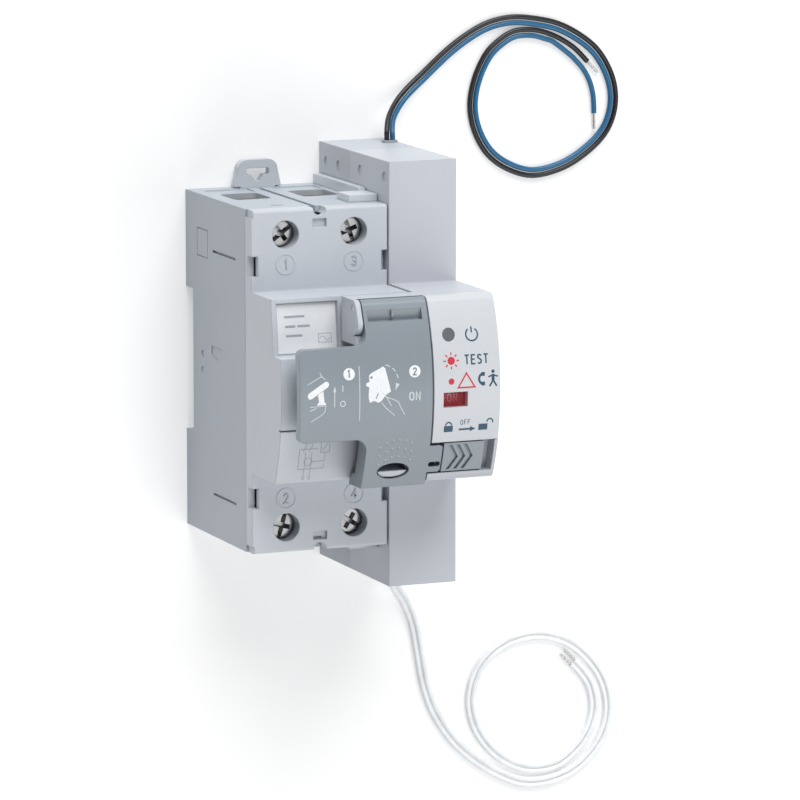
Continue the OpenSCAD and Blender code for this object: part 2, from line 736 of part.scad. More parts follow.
module unit_rear_housing() {
    color("#b4bac2") placed() difference() {
        union() {
            difference() {
                unit_box(0, unit_split - 0.05);
                for (s = [-1, 1]) scale([1, s, 1]) {
                    box([unit_x0 + wall, 19.3, wall], [inner_x1, unit_half - wall, unit_split + 1]);
                }
                box([unit_x0 + wall, -20, floor_z], [inner_x1, 20, unit_split + 1]);
            }
            screw_places() rod_z([0, 0], wall, unit_split - 0.05, 2.8);
        }
        box([unit_x0 - 1, -rail_gap / 2, -1], [total_w + 1, rail_gap / 2, recess_top]);
        screw_places() {
            rod_z([0, 0], -1, 2, 2.3);
            rod_z([0, 0], 1, unit_split + 1, 1.3);
        }
        for (x = exit_x) for (s = [-1, 1]) {
            translate([x + total_w / 2, s * (unit_half - 3), exit_z]) rotate([-90 * s, 0, 0])
                cylinder(h = 6, r = 0.72);
        }
        for (s = [-1, 1]) scale([1, s, 1])
            box([exit_x[0] + total_w / 2 - 1, unit_half - wall - 0.1, exit_z - 1],
                [exit_x[1] + total_w / 2 + 1, unit_half + 1, exit_z + 1]);
        for (z = [4.6, 12.8]) rod_x(unit_x0 - 1, unit_x0 + 0.3, [47.1, z], 1.3);
    }
}

// The bridge reaches over the breaker's nose and carries the flap's pin.
module bridge_outline() {
    intersection() {
        unit_arch(0, label_z);
        translate([11.6, label_z + 0.4]) square([12, 20]);
    }
}

// What is cut from the bridge so that its cheek ends in a round corner behind the flap.
module cheek_corner() {
    top = arch_z + sqrt(pow(arch_r, 2) - pow(cheek_y + cheek_r, 2));
    difference() {
        translate([-30, label_z]) square([30 + cheek_y, 20]);
        unit_arch_plain(flap_t + 0.4);
    }
    difference() {
        translate([cheek_y - 0.1, top - cheek_r]) square([cheek_r + 0.1, 10]);
        translate([cheek_y + cheek_r, top - cheek_r]) circle(cheek_r);
    }
}

// Side outline of the unit's nose, with the seat of the indicator panel cut away.
module nose_wall_outline() {
    difference() {
        unit_arch(0, box_z - 0.1);
        difference() {
            translate([panel_y0 - 0.1, panel_base - 0.1]) square([50, 20]);
            unit_arch(panel_t + 0.1, 0);
        }
    }
}

// Space inside the nose: open to the front below the panel, closed below the slider.
module nose_cavity_outline() {
    inner = nose_half - wall;
    translate([panel_y0 + 1, box_z - wall - 1]) square([inner - panel_y0 - 1, 40]);
    intersection() {
        unit_arch_plain(slider_inset + wall);
        translate([-inner, box_z - wall - 1]) square([inner + panel_y0 + 1.1, 40]);
    }
}

module slider_bay_outline() {
    difference() {
        translate([slider_y0, 58]) square([panel_y0 - 0.1 - slider_y0, 30]);
        unit_arch_plain(slider_inset);
    }
}

module unit_front_housing() {
    color("#d3d7dc") placed() difference() {
        union() {
            difference() {
                union() {
                    unit_box(unit_split, box_z);
                    along_x(nose_x0, total_w) nose_wall_outline();
                }
                box([unit_x0 + wall, -unit_half + wall, unit_split - 1],
                    [inner_x1, unit_half - wall, box_z - wall]);
                along_x(nose_x0 + cheek_w, inner_x1) nose_cavity_outline();
                along_x(nose_x0 - 1, total_w - 0.8) slider_bay_outline();
            }
            along_x(bridge_x0, nose_x0 + 0.1) bridge_outline();
            screw_places() rod_z([0, 0], unit_split, box_z - 1, 2.6);
            for (p = [gear_2, gear_1]) {
                rod_x(inner_x1 - 1.2, inner_x1 + 0.2, p, 2.4);
                rod_x(unit_x0 + wall - 0.2, unit_x0 + wall + 0.8, p, 2.4);
            }
            rod_x(inner_x1 - 1.6, inner_x1 + 0.2, [0, axle_z], 3);
        }
        screw_places() rod_z([0, 0], unit_split - 1, 28, 1.22);
        for (p = [gear_2, gear_1]) rod_x(unit_x0 + 0.8, inner_x1 + 0.8, p, gear_bore - fit);
        rod_x(40, inner_x1 + 0.2, [0, axle_z], axle_r);
        rod_x(unit_x0 - 1, unit_x0 + wall + 1, [0, axle_z], 6.6);
        // room for the flap and its knuckle between the cheek and the nose
        rod_x(bridge_x0 + cheek_w, nose_x0, [pin_y, pin_z], corner_r + 0.3);
        along_x(bridge_x0 + cheek_w, nose_x0) difference() {
            translate([-30, label_z]) square([pin_y + 30, 20]);
            unit_arch_plain(flap_t + 0.4);
        }
        along_x(bridge_x0 - 1, nose_x0) cheek_corner();
        rod_x(bridge_x0 - 1, nose_x0 + 2.5, [pin_y, pin_z], pin_r);
        // guide slot of the lock slider
        box([42, -17.9, 55], [47.9, -15.1, 75]);
        for (z = [27, 42.6]) rod_x(unit_x0 - 1, unit_x0 + 0.3, [47.6, z], 1.3);
    }
}

module indicator_panel() {
    x1 = total_w - 0.05;
    color("#eceef1") placed() difference() {
        along_x(panel_x0, x1) difference() {
            unit_arch(0, panel_base);
            unit_arch(panel_t, 0);
            translate([-40, 0]) square([40 + panel_y0, 100]);
        }
        rod_z([39.8, 13.3], 60, 80, 1.6);
        box([37.9, -3.9, 60], [44.1, -0.3, 80]);
        rod_x(panel_x0 - 1, panel_x0 + 2.5, [pin_y, pin_z], pin_r);
    }
}

module flag_window() {
    color("#d8404a", 0.6) placed() intersection() {
        along_x(37.95, 44.05) difference() {
            unit_arch(0.25, 60);
            unit_arch(panel_t - 0.2, 0);
        }
        box([37, -3.85, 60], [45, -0.35, 80]);
    }
}

module led_lens() {
    color("#5b6067") placed() intersection() {
        rod_z([39.8, 13.3], 68.6, 80, 1.55);
        along_x(36, 44) unit_arch(0.1, 60);
    }
}

module display_board() {
    color("#2f6b47") placed() box([37.6, 10.6, 66.2], [50.4, 17, 67]);
}

module status_led() {
    color("#e8e4c8") placed() {
        box([38.8, 12.3, 67], [40.8, 14.3, 67.6]);
        rod_z([39.8, 13.3], 67.6, 68.3, 0.9);
    }
}

// ---- flap ----

module flap_plan() {
    difference() {
        union() {
            translate([flap_neck_x, lip_y]) square([flap_x[1] - flap_neck_x, nose_half - 1.3 - lip_y]);
            round_rect([flap_x[0], -10.4], [flap_x[1], 11.7], 1.6);
            round_rect([flap_x[1] - 3, slider_y0 + 0.4], [ear_x, -13.1], 0.8);
            translate([flap_neck_x - 3, 11.6]) square([3.01, 3.1]);
            translate([flap_neck_x - 3, -13.4]) square([3.01, 3.1]);
        }
        translate([flap_neck_x - 3, 14.7]) circle(3);
        translate([flap_neck_x - 3, -13.4]) circle(3);
        translate([36.7, -17.8]) round_rect([-1.5, -0.6], [1.5, 0.6], 0.5);
        // oval hole for a seal
        seal_oval(0);
    }
}

module flap_side_outline(thickness) {
    difference() {
        unit_arch_plain(0);
        unit_arch_plain(thickness);
    }
}

// Small rib in the middle of the finger groove.
module nub() {
    box([25.9, 18.2, 66], [26.5, 19.8, 69.7]);
}

module flap() {
    color("#848c93") placed() difference() {
        union() {
            intersection() {
                along_x(flap_x[0], ear_x) flap_side_outline(flap_t);
                translate([0, 0, 50]) linear_extrude(40) flap_plan();
            }
            rod_x(flap_neck_x, flap_x[1], [pin_y, pin_z], corner_r);
            // side skirt beside the neck, and the lip that hooks below the nose
            intersection() {
                along_x(flap_neck_x, flap_neck_x + 1.4) flap_side_outline(4.8);
                box([0, lip_y, 60], [50, -10.6, 80]);
            }
            intersection() {
                along_x(flap_neck_x, flap_neck_x + 1.4) flap_side_outline(6.4);
                box([0, lip_y, 60], [50, -19.9, 80]);
            }
            intersection() {
                box([flap_neck_x, lip_y, 60.4], [flap_x[1], lip_y + 1.1, 70]);
                along_x(0, 50) unit_arch_plain(0);
            }
            nub();
        }
        rod_x(0, 50, [pin_y, pin_z], pin_r + fit);
        // finger groove that deepens towards the middle of the flap
        difference() {
            along_x(19.8, 33.6) polygon([[17.2, 68.5], [17.2, 80], [23, 80], [19.8, 69.15]]);
            nub();
        }
    }
}

// The arch without rounded ends, for pieces that are cut to length by their own outlines.
module unit_arch_plain(inset) {
    translate([0, arch_z]) intersection() {
        circle(arch_r - inset, $fn = 256);
        translate([-30, 20]) square([60, 60]);
    }
}

module flap_pin() {
    color("#9da3a8") placed() rod_x(bridge_x0 + 0.1, panel_x0 + 2.4, [pin_y, pin_z], pin_r);
}

// Three shallow arrow-shaped grooves for the fingertip.
module slider_chevrons() {
    difference() {
        for (k = [0 : 2]) {
            translate([41.9 + 1.9 * k, -16.3, 60]) for (s = [-1, 1]) {
                linear_extrude(20) scale([1, s]) polygon([[0, 0], [-1.9, 3.1], [-1.1, 3.1], [0.8, 0]]);
            }
        }
        along_x(38, 50) unit_arch_plain(0.85);
    }
}

module lock_slider() {
    color("#878e95") placed() {
        difference() {
            intersection() {
                along_x(38.8, 49.2) difference() {
                    unit_arch_plain(0.15);
                    unit_arch_plain(3);
                }
                box([38, slider_y0 + 0.3, 60], [50, panel_y0 - 0.3, 80]);
            }
            slider_chevrons();
        }
        box([42.4, -17.5, 64], [45.4, -15.5, 67.6]);
        box([41.4, -18.4, 62.3], [46.4, -14.6, 64]);
    }
}

// ---- reclosing unit: drive ----

module drive_sector() {
    place = [0, axle_z];
    rest = mesh_angle(sector_a + throw);
    color("#d9d4c4") placed() difference() {
        union() {
            intersection() {
                gear(sector_x[0], sector_x[1], place, sector_m, sector_teeth, mesh_angle(sector_a));
                translate([0, 0, axle_z]) along_x(39, 43) rotate(rest)
                    polygon([[0, 0], [30 * cos(36), -30 * sin(36)], [36, 0], [30 * cos(36), 30 * sin(36)]]);
            }
            rod_x(sector_x[0], sector_x[1], place, 7);
        }
        rod_x(30, 50, place, axle_r + fit);
        turned(place, -throw) rod_x(30, 50, [0, link_y], 1.03);
    }
}

module drive_link() {
    color("#9da3a8") placed() turned([0, axle_z], -throw) rod_x(29, sector_x[1], [0, link_y], 1);
}

module position_flag() {
    r0 = 16.2;
    r1 = 17;
    x0 = 37.6;
    color("#c42f38") placed() translate([0, 0, axle_z]) difference() {
        union() {
            along_x(x0, 44.4) intersection() {
                difference() {
                    circle(r1);
                    circle(r0);
                }
                polygon([[0, 0], [40 * cos(34), 40 * sin(34)], [0, 60], [40 * cos(108), 40 * sin(108)]]);
            }
            along_x(x0, x0 + 1) intersection() {
                circle(r0 + 0.3);
                polygon([[0, -2], [30 * cos(60), 30 * sin(60)], [-30 * cos(80), 30 * sin(80)]]);
            }
            rod_x(x0, sector_x[0], [0, 0], 3);
        }
        rod_x(0, 50, [0, 0], axle_r + fit);
    }
}

module reduction_gear_2() {
    color("#e3dfd2") placed() difference() {
        union() {
            gear(sector_x[0] - 0.2, mid_x[0] + 0.1, gear_2, sector_m, pinion_teeth,
                mesh_angle(sector_a) + 180 + 180 / pinion_teeth);
            gear(mid_x[0], mid_x[1], gear_2, mid_m, mid_teeth, mesh_angle(mid_a));
            rod_x(38.4, 39.4, gear_2, 1.8);
        }
        rod_x(30, 50, gear_2, gear_bore);
    }
}

module reduction_gear_1() {
    color("#e3dfd2") placed() difference() {
        union() {
            gear(mid_x[0] - 0.2, fast_x[0] + 0.1, gear_1, mid_m, pinion_teeth,
                mesh_angle(mid_a) + 180 + 180 / pinion_teeth);
            gear(fast_x[0], fast_x[1], gear_1, fast_m, fast_teeth, mesh_angle(fast_a));
        }
        rod_x(30, 50, gear_1, gear_bore);
    }
}

module gear_axles() {
    color("#9da3a8") placed() for (p = [gear_2, gear_1]) {
        rod_x(unit_x0 + 0.9, inner_x1 + 0.7, p, gear_bore - fit);
    }
}

module motor() {
    color("#a7acb1") placed() difference() {
        union() {
            rod_x(unit_x0 + wall + 0.1, 44.6, motor_c, 7.4);
            rod_x(44.6, 45.2, motor_c, 2.4);
        }
        rod_x(40, 46, motor_c, 0.8);
    }
}

module motor_pinion() {
    color("#c8a24a") placed() {
        gear(45.6, 47.9, motor_c, fast_m, pinion_teeth, mesh_angle(fast_a) + 180 + 180 / pinion_teeth);
        rod_x(41, 48.2, motor_c, 0.75);
    }
}

module power_board() {
    color("#2f6b47") placed() box([49, 6, 7.4], [50.4, 49.6, 43.4]);
}

module board_components() {
    color("#33383e") placed() {
        box([38.6, 23, 24], [48.9, 36, 38]);
        box([43, 9, 12], [48.9, 19, 22]);
        box([46.9, 39.4, 26], [48.9, 46, 36]);
        for (z = [28, 36]) rod_x(39.5, 48.9, [14, z], 3);
        box([44.4, 26, 9], [48.9, 40, 15]);
    }
}

module housing_screws() {
    color("#8b9095") placed() screw_places() difference() {
        union() {
            rod_z([0, 0], 0.4, 2, 2.1);
            rod_z([0, 0], 2, 27.5, 1.2);
        }
        box([-1.2, -0.25, 0], [1.2, 0.25, 1.1]);
        box([-0.25, -1.2, 0], [0.25, 1.2, 1.1]);
    }
}

module wire_bushings() {
    color("#8f959c") placed() for (s = [-1, 1]) scale([1, s, 1]) {
        box([exit_x[0] + total_w / 2 - 0.95, unit_half - wall, exit_z - 0.95],
            [exit_x[1] + total_w / 2 + 0.95, unit_half + bushing_out, exit_z + 0.95]);
    }
}

// ---- cords ----

module black_wire() {
    color("#1c1f24") tube(black_loop, wire_r);
}

module blue_wire() {
    color("#1f6fa8") tube(blue_loop, wire_r);
}

module white_wire_a() {
    color("#eceef0") tube(white_loop, wire_r);
}

module white_wire_b() {
    color("#eceef0") tube(white_loop_b, wire_r);
}

module bare_end(list) {
    p = last(list);
    d = heading(list, len(list) - 1);
    translate(p) rotate([0, 90, atan2(d[1], d[0])]) cylinder(h = bare_len, r = bare_r);
}

module bare_wire_ends() {
    color("#c9a227") for (w = [black_loop, blue_loop, white_loop, white_loop_b]) bare_end(w);
}

base_housing();
front_cover();
label_window();
label_card();
toggle_handle();
toggle_axle();
test_button();
test_contact_spring();
test_resistor();
upper_rail_clip();
lower_rail_clip();
terminal_screw_1();
terminal_screw_2();
terminal_screw_3();
terminal_screw_4();
clamp_cage_1();
clamp_cage_2();
clamp_cage_3();
clamp_cage_4();
line_contact_bars();
load_conductors();
contact_carrier();
moving_contacts();
carrier_axle();
toroid_core();
secondary_winding();
trip_relay();
relay_plunger();
arc_plates();
cover_pins();
joining_strips();
unit_rear_housing();
unit_front_housing();
indicator_panel();
flap();
flap_pin();
lock_slider();
led_lens();
status_led();
display_board();
flag_window();
position_flag();
drive_sector();
drive_link();
reduction_gear_2();
reduction_gear_1();
gear_axles();
motor();
motor_pinion();
power_board();
board_components();
housing_screws();
wire_bushings();
black_wire();
blue_wire();
white_wire_a();
white_wire_b();
bare_wire_ends();
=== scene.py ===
"""Looks for a rail-mounted residual current circuit breaker with an automatic reclosing unit.

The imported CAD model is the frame. This script sets the camera and the light, lays the wires,
gives each CAD node its material, and adds the printed signs, the embossed numerals and the
grip dots that the moulded parts carry. All pieces are placed in the frame's own metres.
"""

import math

import bmesh
import bpy
from mathutils import Matrix, Vector
from mathutils.geometry import tessellate_polygon


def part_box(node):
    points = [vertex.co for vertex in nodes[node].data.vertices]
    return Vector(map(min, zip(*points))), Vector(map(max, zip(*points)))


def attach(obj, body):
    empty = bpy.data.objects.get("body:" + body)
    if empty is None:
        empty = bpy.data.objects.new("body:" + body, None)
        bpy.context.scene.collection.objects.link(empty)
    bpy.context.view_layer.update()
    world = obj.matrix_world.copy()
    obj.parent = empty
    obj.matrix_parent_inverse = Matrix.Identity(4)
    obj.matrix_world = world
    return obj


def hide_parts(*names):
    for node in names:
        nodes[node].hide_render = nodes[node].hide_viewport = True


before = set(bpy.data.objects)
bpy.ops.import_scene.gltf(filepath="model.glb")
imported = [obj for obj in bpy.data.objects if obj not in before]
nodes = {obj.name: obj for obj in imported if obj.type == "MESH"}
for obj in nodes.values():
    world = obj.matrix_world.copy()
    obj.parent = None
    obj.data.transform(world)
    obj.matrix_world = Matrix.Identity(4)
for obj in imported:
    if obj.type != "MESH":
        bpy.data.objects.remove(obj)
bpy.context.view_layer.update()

MM = 0.001
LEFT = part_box("base_housing")[0].x  # left side of the device
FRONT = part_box("flap")[1].z  # highest point of the arched front
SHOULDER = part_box("unit_rear_housing")[0].z + 45 * MM  # front of the breaker's shoulders
ARCH_R = 52 * MM  # radius of the arched front
NOSE_R = 56 * MM  # radius of the breaker's own nose
NOSE_FRONT = 64.7 * MM  # highest point of that nose
TOGGLE_AXLE_Z = 52 * MM

# ---------------------------------------------------------------- camera


def add_camera():
    """The photograph's camera, fitted to the device's known widths: a long lens far away."""
    azimuth, elevation = math.radians(22.27), math.radians(9.31)
    distance = 1.4514
    target = Vector((0.015029, -0.007589, 0.037499))
    back = Vector(
        (
            -math.sin(azimuth) * math.cos(elevation),
            math.sin(elevation),
            math.cos(azimuth) * math.cos(elevation),
        )
    )
    right = Vector((0, 1, 0)).cross(back).normalized()
    turn = Matrix((right, back.cross(right), back)).transposed().to_4x4()
    data = bpy.data.cameras.new("camera")
    data.lens = 269.4
    data.sensor_width = 36
    data.clip_start = 0.05
    data.clip_end = 20
    camera = bpy.data.objects.new("camera", data)
    camera.matrix_world = Matrix.Translation(target + distance * back) @ turn
    bpy.context.scene.collection.objects.link(camera)
    bpy.context.scene.camera = camera


# ---------------------------------------------------------------- materials


class Paint:
    """A node material in the making: adds nodes and links them by socket name."""

    def __init__(self, name):
        self.material = bpy.data.materials.new(name)
        self.material.use_nodes = True
        self.tree = self.material.node_tree
        self.shader = self.tree.nodes["Principled BSDF"]
        self.place = self.add("ShaderNodeTexCoord").outputs["Object"]

    def add(self, kind, inputs=None, **settings):
        made = self.tree.nodes.new(kind)
        for key, value in settings.items():
            setattr(made, key, value)
        for key, value in (inputs or {}).items():
            if isinstance(value, bpy.types.NodeSocket):
                self.tree.links.new(value, made.inputs[key])
            else:
                made.inputs[key].default_value = value
        return made

    def set(self, **values):
        for key, value in values.items():
            self.shader.inputs[key.replace("_", " ")].default_value = value

    def link(self, output, name):
        self.tree.links.new(output, self.shader.inputs[name])

    def noise(self, scale, detail, stretch=(1, 1, 1)):
        place = self.add("ShaderNodeMapping", {"Vector": self.place, "Scale": stretch})
        return self.add(
            "ShaderNodeTexNoise",
            {"Vector": place.outputs["Vector"], "Scale": scale, "Detail": detail},
        ).outputs["Fac"]

    def ramp(self, factor, low, high):
        """A colour between two tones; the ends of the factor's range are cut off."""
        ramp = self.add("ShaderNodeValToRGB", {"Fac": factor})
        first, last = ramp.color_ramp.elements
        first.position, last.position = 0.3, 0.7
        first.color, last.color = (*low, 1), (*high, 1)
        return ramp.outputs["Color"]

    def spread(self, factor, low, high):
        """A number between two values."""
        return self.add(
            "ShaderNodeMapRange", {"Value": factor, "To Min": low, "To Max": high}
        ).outputs["Result"]

    def relief(self, height, strength, depth, normal=None):
        """A bumped normal, on top of another one where it is given."""
        bump = self.add("ShaderNodeBump", {"Height": height, "Strength": strength, "Distance": depth})
        if normal is not None:
            self.tree.links.new(normal, bump.inputs["Normal"])
        return bump.outputs["Normal"]


def shade(colour, factor):
    return tuple(max(0.0, min(1.0, part * factor)) for part in colour)


def moulded(name, colour, roughness=0.42, grain=1.0, soft_edge=0.25, coat=0.0):
    """Injection-moulded plastic: a fine eroded texture, faint flow marks and softened edges."""
    paint = Paint(name)
    flow = paint.noise(55, 4, (1, 0.45, 1))
    mottle = paint.noise(900, 2)
    tone = paint.ramp(flow, shade(colour, 0.965), shade(colour, 1.03))
    fine = paint.ramp(mottle, shade(colour, 0.985), shade(colour, 1.015))
    mix = paint.add("ShaderNodeMix", {"Factor": 0.4}, data_type="RGBA")
    colours = [socket for socket in mix.inputs if socket.type == "RGBA"]
    paint.tree.links.new(tone, colours[0])
    paint.tree.links.new(fine, colours[1])
    result = [socket for socket in mix.outputs if socket.type == "RGBA"][0]
    paint.link(result, "Base Color")
    paint.link(paint.spread(mottle, roughness - 0.05, roughness + 0.06), "Roughness")
    edge = paint.add("ShaderNodeBevel", {"Radius": soft_edge * MM}, samples=4)
    texture = paint.noise(5200, 3)
    rough = paint.relief(texture, 0.22 * grain, 0.02 * MM, edge.outputs["Normal"])
    waves = paint.relief(flow, 0.05, 0.3 * MM, rough)
    paint.link(waves, "Normal")
    paint.set(Specular_IOR_Level=0.45, Coat_Weight=coat, Coat_Roughness=0.18)
    return paint.material


def metal(name, colour, roughness, streaks=(1, 1, 12)):
    """Worked metal: fine streaks, uneven polish and softened edges."""
    paint = Paint(name)
    lines = paint.noise(1400, 4, streaks)
    cloud = paint.noise(260, 3)
    paint.link(paint.ramp(cloud, shade(colour, 0.82), shade(colour, 1.08)), "Base Color")
    paint.link(paint.spread(lines, roughness * 0.7, roughness * 1.5), "Roughness")
    edge = paint.add("ShaderNodeBevel", {"Radius": 0.12 * MM}, samples=4)
    paint.link(paint.relief(lines, 0.25, 0.015 * MM, edge.outputs["Normal"]), "Normal")
    paint.set(Metallic=1.0)
    return paint.material


def clear(name, colour, alpha):
    """Thin clear moulding: mostly see-through, with a polished skin and faint haze."""
    paint = Paint(name)
    haze = paint.noise(420, 3)
    paint.link(paint.ramp(haze, shade(colour, 0.95), colour), "Base Color")
    paint.link(paint.spread(haze, 0.06, 0.14), "Roughness")
    paint.link(paint.relief(paint.noise(90, 2), 0.08, 0.1 * MM), "Normal")
    paint.link(paint.spread(haze, alpha, alpha + 0.06), "Alpha")
    paint.set(IOR=1.49)
    return paint.material


def ink(name, colour):
    """Pad-printed ink: a thin film with a slightly uneven cover."""
    paint = Paint(name)
    cover = paint.noise(2600, 3)
    paint.link(paint.ramp(cover, shade(colour, 0.88), shade(colour, 1.06)), "Base Color")
    paint.link(paint.spread(cover, 0.42, 0.58), "Roughness")
    paint.link(paint.relief(cover, 0.15, 0.01 * MM), "Normal")
    return paint.material


def wire_skin(name, colour):
    """Soft PVC insulation with a dull sheen."""
    paint = Paint(name)
    cloud = paint.noise(320, 3)
    paint.link(paint.ramp(cloud, shade(colour, 0.93), shade(colour, 1.04)), "Base Color")
    paint.link(paint.spread(paint.noise(2400, 2), 0.3, 0.42), "Roughness")
    paint.link(paint.relief(paint.noise(3000, 3), 0.2, 0.02 * MM), "Normal")
    paint.set(Specular_IOR_Level=0.5)
    return paint.material


def board(name, colour):
    """Circuit board: solder resist over faint copper tracks."""
    paint = Paint(name)
    tracks = paint.add(
        "ShaderNodeTexBrick",
        {
            "Vector": paint.place,
            "Color1": (*shade(colour, 0.9), 1),
            "Color2": (*shade(colour, 1.1), 1),
            "Mortar": (*shade(colour, 1.7), 1),
            "Scale": 420,
            "Mortar Size": 0.03,
        },
    )
    paint.link(tracks.outputs["Color"], "Base Color")
    paint.link(paint.spread(paint.noise(800, 3), 0.22, 0.36), "Roughness")
    paint.link(paint.relief(tracks.outputs["Fac"], 0.2, 0.03 * MM), "Normal")
    return paint.material


def all_materials():
    return {
        # painted shade: the base housing is the same plastic as the cover, set darker to stand for the
        # shade on its left side
        "base": moulded("base_grey_painted_shade", (0.41, 0.45, 0.495), 0.48),
        "cover": moulded("cover_grey", (0.52, 0.55, 0.595), 0.40, soft_edge=0.45),
        "unit": moulded("unit_grey", (0.50, 0.525, 0.57), 0.42, soft_edge=0.45),
        # painted shade: the unit's rear housing is the same plastic as its front housing, set darker to
        # stand for the shade on the unit's top
        "unit_rear": moulded("unit_rear_grey_painted_shade", (0.46, 0.49, 0.535), 0.46),
        "panel": moulded("panel_white", (0.56, 0.58, 0.605), 0.34, 0.7),
        "flap": moulded("flap_grey", (0.232, 0.265, 0.294), 0.34, 0.8, coat=0.15),
        "dot": moulded("dot_grey", (0.35, 0.385, 0.41), 0.4, 0.5, 0.05),
        "slider": moulded("slider_grey", (0.27, 0.305, 0.335), 0.38),
        "toggle": moulded("toggle_grey", (0.14, 0.16, 0.185), 0.42),
        "clip": moulded("clip_grey", (0.52, 0.55, 0.59), 0.44),
        "strip": moulded("strip_grey", (0.60, 0.63, 0.67), 0.42),
        "bushing": moulded("bushing_grey", (0.34, 0.37, 0.40), 0.5),
        "dark": moulded("dark_moulding", (0.06, 0.07, 0.08), 0.45),
        "gear": moulded("gear_white", (0.76, 0.73, 0.64), 0.4),
        "card": moulded("label_card", (0.80, 0.81, 0.83), 0.5, 0.4, 0.02),
        "black_part": moulded("component_black", (0.03, 0.033, 0.037), 0.4),
        "resistor": moulded("resistor_skin", (0.16, 0.27, 0.19), 0.3),
        "led": moulded("led_epoxy", (0.70, 0.68, 0.46), 0.2, 0.3),
        "flag": moulded("flag_red", (0.55, 0.02, 0.035), 0.4),
        "core": moulded("core_coating", (0.07, 0.08, 0.09), 0.38),
        "lens": moulded("lens_grey", (0.13, 0.14, 0.155), 0.16, 0.3, 0.1, 0.6),
        "zinc": metal("zinc_steel", (0.27, 0.27, 0.275), 0.17),
        "pin": metal("bright_steel", (0.66, 0.66, 0.66), 0.22),
        "plate": metal("rolled_steel", (0.50, 0.51, 0.52), 0.35, (12, 1, 1)),
        "cage": metal("yellow_zinc", (0.62, 0.50, 0.24), 0.32),
        "copper": metal("copper_strip", (0.78, 0.38, 0.22), 0.28, (12, 1, 1)),
        "bronze": metal("spring_bronze", (0.66, 0.40, 0.18), 0.25),
        "enamel": metal("enamelled_copper", (0.50, 0.16, 0.06), 0.22),
        "brass": metal("turned_brass", (0.76, 0.56, 0.24), 0.22),
        "tinned": metal("tinned_copper", (0.72, 0.71, 0.69), 0.25),
        "window": clear("label_window", (0.90, 0.93, 0.95), 0.07),
        "red_window": clear("red_window", (0.66, 0.035, 0.06), 0.12),
        "board": board("circuit_board", (0.02, 0.12, 0.05)),
        "black_wire": wire_skin("black_pvc", (0.010, 0.011, 0.014)),
        "blue_wire": wire_skin("blue_pvc", (0.010, 0.115, 0.240)),
        "white_wire": wire_skin("white_pvc", (0.84, 0.86, 0.87)),
        "white_ink": ink("white_ink", (0.80, 0.82, 0.84)),
        "pale_ink": ink("pale_ink", (0.58, 0.62, 0.65)),
        "navy_ink": ink("navy_ink", (0.018, 0.070, 0.125)),
        "red_ink": ink("red_ink", (0.56, 0.025, 0.045)),
        "soft_ink": ink("soft_ink", (0.30, 0.33, 0.37)),
        "flap_ink": ink("flap_ink", (0.16, 0.19, 0.215)),
    }


NODE_MATERIALS = {
    "base": ["base_housing"],
    "cover": ["front_cover"],
    "window": ["label_window"],
    "card": ["label_card"],
    "toggle": ["toggle_handle", "test_button"],
    "pin": [
        "toggle_axle", "carrier_axle", "flap_pin", "gear_axles", "drive_link", "relay_plunger",
        "cover_pins",
    ],
    "bronze": ["test_contact_spring"],
    "resistor": ["test_resistor"],
    "clip": ["upper_rail_clip", "lower_rail_clip"],
    "zinc": [*(f"terminal_screw_{n}" for n in (1, 2, 3, 4)), "housing_screws"],
    "cage": [f"clamp_cage_{n}" for n in (1, 2, 3, 4)],
    "copper": ["line_contact_bars", "load_conductors", "moving_contacts"],
    "dark": ["contact_carrier", "trip_relay"],
    "core": ["toroid_core"],
    "enamel": ["secondary_winding"],
    "plate": ["arc_plates", "motor"],
    "strip": ["joining_strips"],
    "unit_rear": ["unit_rear_housing"],
    "unit": ["unit_front_housing"],
    "panel": ["indicator_panel"],
    "flap": ["flap"],
    "slider": ["lock_slider"],
    "lens": ["led_lens"],
    "led": ["status_led"],
    "board": ["display_board", "power_board"],
    "red_window": ["flag_window"],
    "flag": ["position_flag"],
    "gear": ["drive_sector", "reduction_gear_2", "reduction_gear_1"],
    "brass": ["motor_pinion"],
    "black_part": ["board_components"],
    "bushing": ["wire_bushings"],
    "black_wire": ["black_wire"],
    "blue_wire": ["blue_wire"],
    "white_wire": ["white_wire_a", "white_wire_b"],
    "tinned": ["bare_wire_ends"],
}

SMOOTH_ANGLE = math.radians(28)  # sharper edges than this are kept sharp


def dress_nodes(materials):
    """Gives each CAD node its material and smooth shading across its curved faces."""
    for key, names in NODE_MATERIALS.items():
        for name in names:
            mesh = nodes[name].data
            mesh.materials.clear()
            mesh.materials.append(materials[key])
            mesh.shade_smooth()
            mesh.set_sharp_from_angle(angle=SMOOTH_ANGLE)


# ---------------------------------------------------------------- wires

WIRE_D = 1.3 * MM
WIRE_GAP = 1.5 * MM
# The points of the routes, in millimetres in the frame, as the CAD source has them.
BLACK_ROUTE = [
    (23.2, 52.3, 9), (23.2, 53.2, 9), (23.2, 54.5, 9),
    (24.6, 57.5, 6.6), (27.5, 60.5, 3.6), (31, 63.5, 1.6),
    (36, 67.5, 0.8), (42.5, 73, 0.7), (48.5, 77, 0.7), (54, 79.5, 0.7), (60, 80.5, 0.7),
    (66, 80, 0.7), (72.5, 78.5, 0.7), (78.5, 75.5, 0.7), (83.5, 71.5, 0.7), (87, 66, 0.7),
    (88.5, 60.5, 0.7), (88, 55, 0.7), (85.5, 50, 0.7), (80.5, 45.5, 0.7), (74, 42, 0.7),
    (66, 40.5, 0.7), (59, 42.5, 0.7), (53.5, 46.5, 0.7), (50, 52.5, 0.7), (48.8, 59, 0.7),
    (50, 65.5, 0.7), (53, 71.5, 0.7), (56.8, 75, 0.7), (61, 77, 0.7), (66.5, 77, 0.7),
    (72, 75.2, 0.7), (77, 72.2, 0.7), (80.7, 68.6, 0.7),
]
BLUE_TAIL = [
    (76, 70.4, 0.7), (79.2, 67.2, 0.7), (81.4, 63.5, 0.7), (82.4, 59.5, 0.7), (82.6, 55.5, 0.7),
]
